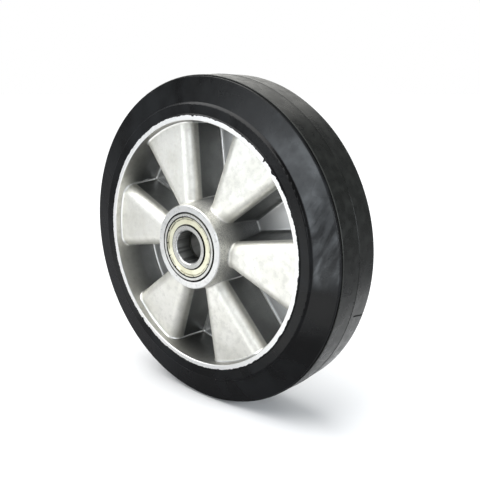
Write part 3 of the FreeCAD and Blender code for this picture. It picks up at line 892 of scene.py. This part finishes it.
def make_ground_steel():
    """Ground ring steel with oil and painted shade at its joints, duller inside the bore, where light and
    shade are painted.
    """
    finish, tree, surface = new_metal("bearing_steel")
    spot = wheel_places(tree)
    rings = lines(tree, spot.radius, scale=1500.0)
    cloud = speckle(tree, spot.point, scale=300.0, detail=3.0)
    in_bore = step(tree, spot.radius, *BORE_WALL, low=1.0, high=0.0)
    steel = mix(tree, in_bore, ring_colour(tree, spot, rings, cloud), painted_bore_light(tree, spot))
    rough = blend(tree, in_bore, uneven(tree, cloud, low=0.22, high=0.36), BORE_ROUGHNESS)
    across_bore = relief(tree, lines(tree, spot.along, scale=2500.0), depth=0.008 * MM)
    dress(tree, surface, mix(tree, oily_shaded_joints(tree, spot), steel, JOINT_OIL_AND_SHADE), rough,
          relief(tree, rings, depth=0.01 * MM, under=across_bore))
    return finish


ground_steel = make_ground_steel()
print("made", ground_steel.name)

# %% [markdown]
# ## Bearing shields
# The shields are thin sheet, zinc plated with a yellow tint and crimped into the outer ring.
# Grease creeps out at both edges and collects in the fold of the crimp, and painted shade darkens both.
# The fold is in the CAD shape, so the finish only has to darken it, and its distance from the axle
# is enough to find it.

# %% Shield plate
SHIELD_BORE = INNER_LAND + 0.45 * MM
CRIMP_INNER = SHIELD_SEAT - 2.0 * MM
CRIMP_START = (CRIMP_INNER, CRIMP_INNER + 0.3 * MM)
CRIMP_FOLD = (CRIMP_INNER - 0.2 * MM, CRIMP_INNER + 0.4 * MM, 0.15 * MM)
PRESSED_EDGE = (SHIELD_SEAT - 0.75 * MM, SHIELD_SEAT - 0.45 * MM)
BORE_EDGE = (SHIELD_BORE + 0.15 * MM, SHIELD_BORE + 0.35 * MM)
ZINC_YELLOW = (0.86, 0.84, 0.66, 1.0)
ZINC_CLOUD = (0.78, 0.755, 0.565, 1.0)
ZINC_SPOT = (0.55, 0.51, 0.36, 1.0)
CRIMP_GREY = (0.55, 0.54, 0.44, 1.0)
# Grime and painted shade in the crimp's fold.
FOLD_GRIME_AND_SHADE = (0.13, 0.115, 0.075, 1.0)


def plate_colour(tree, spot, cloud, spots):
    """Yellow zinc with clouds and spots, greyer on the crimped rim, with grime and painted shade in the
    fold.
    """
    plate = overlay(tree, ZINC_YELLOW, ZINC_CLOUD, cloud, start=0.35, end=0.7)
    plate = overlay(tree, plate, ZINC_SPOT, spots, start=0.6, end=0.78, most=0.25)
    plate = overlay(tree, plate, CRIMP_GREY, spot.radius, *CRIMP_START, most=0.6)
    patchy = step(tree, cloud, start=0.42, end=0.58, low=0.15, high=0.9)
    return mix(tree, both(tree, band(tree, spot.radius, *CRIMP_FOLD), patchy), plate, FOLD_GRIME_AND_SHADE)


def make_zinc_plate():
    """Pale yellow zinc plate, dark at its edges with creeping grease and painted shade."""
    finish, tree, surface = new_metal("shield_plate")
    spot = wheel_places(tree)
    cloud = speckle(tree, spot.point, scale=160.0, detail=3.0)
    spots = speckle(tree, spot.point, scale=1600.0)
    edges = either(tree, step(tree, spot.radius, *PRESSED_EDGE),
                   step(tree, spot.radius, *BORE_EDGE, low=1.0, high=0.0))
    colour = mix(tree, edges, plate_colour(tree, spot, cloud, spots), JOINT_OIL_AND_SHADE)
    drawn = relief(tree, lines(tree, spot.radius, scale=900.0), depth=0.015 * MM)
    dress(tree, surface, colour, uneven(tree, cloud, low=0.28, high=0.40),
          relief(tree, spots, depth=0.01 * MM, under=drawn))
    return finish


zinc_plate = make_zinc_plate()
print("crimp from radius %.1f mm" % (CRIMP_INNER / MM))

# %% [markdown]
# ## Sleeve, cages and balls
# The sleeve between the bearings is drawn tube. Its marks run along the axle, so its noise is drawn
# out that way.
# Its ends, dark with grease and painted shade, show inside the bore.
# Cages and balls are hidden behind the shields, but they get their own steel as well, so that the model
# can be taken apart: pressed sheet for the cages, a polish for the balls.

# %% Sleeve steel
TUBE_LIGHT = (0.52, 0.52, 0.51, 1.0)
TUBE_DARK = (0.36, 0.36, 0.355, 1.0)
TUBE_CLOUD = (0.26, 0.25, 0.23, 1.0)
TUBE_DRAW = (1.0, 0.04, 1.0)
# The tube's end by the ring: grease and painted shade in the joint.
TUBE_END = (RING_INBOARD - 1.3 * MM, RING_INBOARD - 0.9 * MM)


def make_drawn_tube():
    """Plain drawn tube with streaks along the axle, and grease and painted shade at its end."""
    finish, tree, surface = new_metal("sleeve_steel")
    spot = wheel_places(tree)
    streak = speckle(tree, stretch(tree, spot.point, TUBE_DRAW), scale=900.0, detail=3.0)
    cloud = speckle(tree, spot.point, scale=150.0, detail=3.0)
    tube = mix(tree, streak, TUBE_LIGHT, TUBE_DARK)
    tube = overlay(tree, tube, TUBE_CLOUD, cloud, start=0.5, end=0.75, most=0.3)
    dress(tree, surface, mix(tree, step(tree, spot.along, *TUBE_END), tube, JOINT_OIL_AND_SHADE),
          uneven(tree, cloud, low=0.28, high=0.40), relief(tree, streak, depth=0.015 * MM))
    return finish


drawn_tube = make_drawn_tube()
print("made", drawn_tube.name)

# %% Cage and ball steel
SHEET_LIGHT = (0.62, 0.61, 0.58, 1.0)
SHEET_DARK = (0.42, 0.41, 0.39, 1.0)
BALL_LIGHT = (0.78, 0.78, 0.77, 1.0)
BALL_DARK = (0.68, 0.68, 0.67, 1.0)


def make_pressed_steel():
    """Cold-pressed sheet, slightly cloudy."""
    finish, tree, surface = new_metal("cage_steel")
    spot = wheel_places(tree)
    cloud = speckle(tree, spot.point, scale=500.0, detail=4.0)
    dress(tree, surface, mix(tree, cloud, SHEET_LIGHT, SHEET_DARK), uneven(tree, cloud, low=0.3, high=0.45),
          relief(tree, speckle(tree, spot.point, scale=2500.0), depth=0.008 * MM))
    return finish


def make_polished_steel():
    """Polished ball steel with a breath of oil."""
    finish, tree, surface = new_metal("ball_steel")
    spot = wheel_places(tree)
    cloud = speckle(tree, spot.point, scale=700.0, detail=3.0)
    dress(tree, surface, mix(tree, cloud, BALL_LIGHT, BALL_DARK), uneven(tree, cloud, low=0.07, high=0.13),
          relief(tree, speckle(tree, spot.point, scale=3000.0), depth=0.001 * MM))
    return finish


pressed_steel = make_pressed_steel()
polished_steel = make_polished_steel()
print("made", pressed_steel.name, "and", polished_steel.name)

# %% [markdown]
# ## Dress the CAD pieces
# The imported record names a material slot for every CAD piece, and the finishes are handed out by it.
# Only the slot changes: the meshes themselves are never touched.

# %% Hand out the finishes
finishes = {"cast_aluminium": cast_aluminium, "tyre_rubber": tyre_rubber,
            "bearing_steel": ground_steel, "shield_plate": zinc_plate, "sleeve_steel": drawn_tube,
            "cage_steel": pressed_steel, "ball_steel": polished_steel}
for entry in frame["record"]["subparts"]:
    for slot in nodes[entry["node"]].material_slots:
        slot.material = finishes[entry["material_slot"]]

# %% [markdown]
# ## Rubber flash on the rim lip
# The tyre is moulded onto the rim, and a thin film of rubber creeps over the lip's outer edge.
# It is trimmed by hand, so its inner edge is ragged, and here and there a tongue of it is left.
# A painted edge would have no thickness, so the film is modelled: a thin section is spun round the
# axle, and its inner edge is then pushed in and out by noise.

# %% How far the film creeps
FLASH_MEAN = 0.3
FLASH_LEAST = 0.04
# A ripple has its scale and its height in millimetres.
FLASH_RIPPLES = [(9.0, 0.3), (31.0, 0.5), (83.0, 0.5)]
# A tongue has its angle and half its width in degrees, and its reach in millimetres.
FLASH_TONGUES = [(46.1, 0.45, 2.5), (39.9, 1.2, 1.8), (-130.6, 0.7, 1.4),
                 (89.9, 0.8, 1.1), (-124.4, 0.6, 1.0)]


def flash_creep(degrees, seed):
    """How far the film reaches in over the lip at an angle, in metres."""
    turn = Vector((math.cos(math.radians(degrees)), math.sin(math.radians(degrees)), seed))
    creep = FLASH_MEAN
    for scale, height in FLASH_RIPPLES:
        creep += height * noise.noise(turn * scale)
    for centre, half_width, reach in FLASH_TONGUES:
        off = abs((degrees - centre + 180.0) % 360.0 - 180.0) / half_width
        if off < 1.0:
            creep = max(creep, reach * math.sqrt(1.0 - off * off))
    return max(creep, FLASH_LEAST) * MM


print("longest tongue %.1f mm" % max(reach for centre, half_width, reach in FLASH_TONGUES))

# %% Flash film
FLASH_STEPS = 1080
FLASH_THICK = 0.12 * MM
FLASH_INSET = 0.1 * MM
FLASH_SHOULDER = 0.25 * MM
FLASH_ROOT = 0.9 * MM


def spin_film(sign):
    """Closed ring of film on one side of the wheel, with a plain inner edge."""
    face = sign * LIP_FACE
    top = sign * (LIP_FACE + FLASH_THICK)
    side = sign * TYRE_SIDE
    corners = [(RIM_RADIUS - FLASH_INSET, face), (RIM_RADIUS - FLASH_INSET, top),
               (RIM_RADIUS + FLASH_SHOULDER, top), (RIM_RADIUS + FLASH_ROOT, side),
               (RIM_RADIUS, side), (RIM_RADIUS, face)]
    shape = bmesh.new()
    ring = [shape.verts.new((radius, along, 0.0)) for radius, along in corners]
    edges = [shape.edges.new((ring[k], ring[(k + 1) % len(ring)])) for k in range(len(ring))]
    bmesh.ops.spin(shape, geom=ring + edges, cent=(0, 0, 0), axis=(0, 1, 0),
                   angle=2.0 * math.pi, steps=FLASH_STEPS, use_merge=True)
    return shape


def make_ragged(shape, seed):
    """Push the film's inner edge in and out."""
    for vert in shape.verts:
        radius = math.hypot(vert.co.x, vert.co.z)
        if radius < RIM_RADIUS - 0.5 * FLASH_INSET:
            degrees = math.degrees(math.atan2(vert.co.z, vert.co.x))
            inward = (RIM_RADIUS - flash_creep(degrees, seed)) / radius
            vert.co.x *= inward
            vert.co.z *= inward


def make_flash(name, sign, seed):
    """Thin rubber film over the outer edge of one rim lip."""
    shape = spin_film(sign)
    make_ragged(shape, seed)
    bmesh.ops.recalc_face_normals(shape, faces=shape.faces)
    mesh = bpy.data.meshes.new(name)
    shape.to_mesh(mesh)
    shape.free()
    mesh.materials.append(tyre_rubber)
    film = bpy.data.objects.new(name, mesh)
    scene.collection.objects.link(film)
    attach(film, "wheel")
    print(name, len(mesh.polygons), "faces")


make_flash("front_rubber_flash", sign=-1, seed=3.7)
make_flash("rear_rubber_flash", sign=1, seed=8.2)
